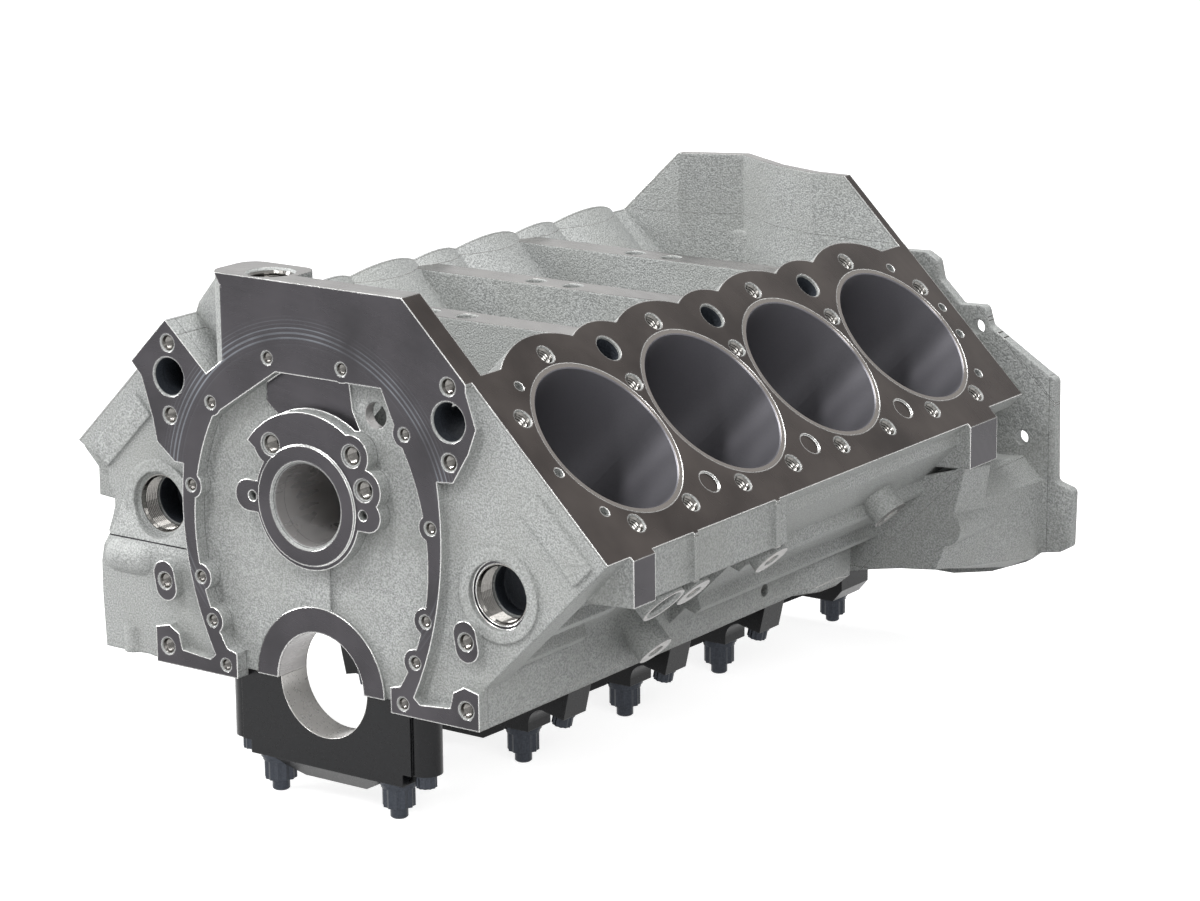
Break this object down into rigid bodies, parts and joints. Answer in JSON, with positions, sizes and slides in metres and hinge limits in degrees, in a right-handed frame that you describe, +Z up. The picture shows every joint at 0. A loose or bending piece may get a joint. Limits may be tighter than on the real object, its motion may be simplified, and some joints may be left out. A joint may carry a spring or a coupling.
{
  "type": "engine block",
  "caption": "Bare V engine block with sleeved cylinder bores, scalloped decks, front timing cavity, rear flange and bolted main bearing caps.",
  "frame": {"origin": "on the crankshaft axis at the front face of the front main bearing boss", "axes": "+Y along the crankshaft toward the rear flange, +Z up between the banks, +X toward the left bank"},
  "size_m": [0.4718, 0.5306, 0.3277],
  "materials": {
    "cast_aluminium": "sand cast, granular, with milled faces",
    "sleeve_iron": "honed bore",
    "black_steel": "black oxide, machined",
    "black_fastener": "black oxide"
  },
  "bodies": {
    "root": {"block_casting": "cast_aluminium", "cylinder_sleeve_1": "sleeve_iron", "cylinder_sleeve_2": "sleeve_iron", "cylinder_sleeve_3": "sleeve_iron", "cylinder_sleeve_4": "sleeve_iron", "cylinder_sleeve_5": "sleeve_iron", "cylinder_sleeve_6": "sleeve_iron", "cylinder_sleeve_7": "sleeve_iron", "cylinder_sleeve_8": "sleeve_iron", "main_cap_1": "black_steel", "main_cap_2": "black_steel", "main_cap_3": "black_steel", "main_cap_4": "black_steel", "main_cap_5": "black_steel", "main_studs_1": "black_fastener", "main_studs_2": "black_fastener", "main_studs_3": "black_fastener", "main_studs_4": "black_fastener", "main_studs_5": "black_fastener", "main_nuts_1": "black_fastener", "main_nuts_2": "black_fastener", "main_nuts_3": "black_fastener", "main_nuts_4": "black_fastener", "main_nuts_5": "black_fastener", "main_washers_1": "black_fastener", "main_washers_2": "black_fastener", "main_washers_3": "black_fastener", "main_washers_4": "black_fastener", "main_washers_5": "black_fastener", "outer_bolts_1": "black_fastener", "outer_bolts_2": "black_fastener", "outer_bolts_3": "black_fastener", "outer_bolts_4": "black_fastener"}
  },
  "joints": []
}
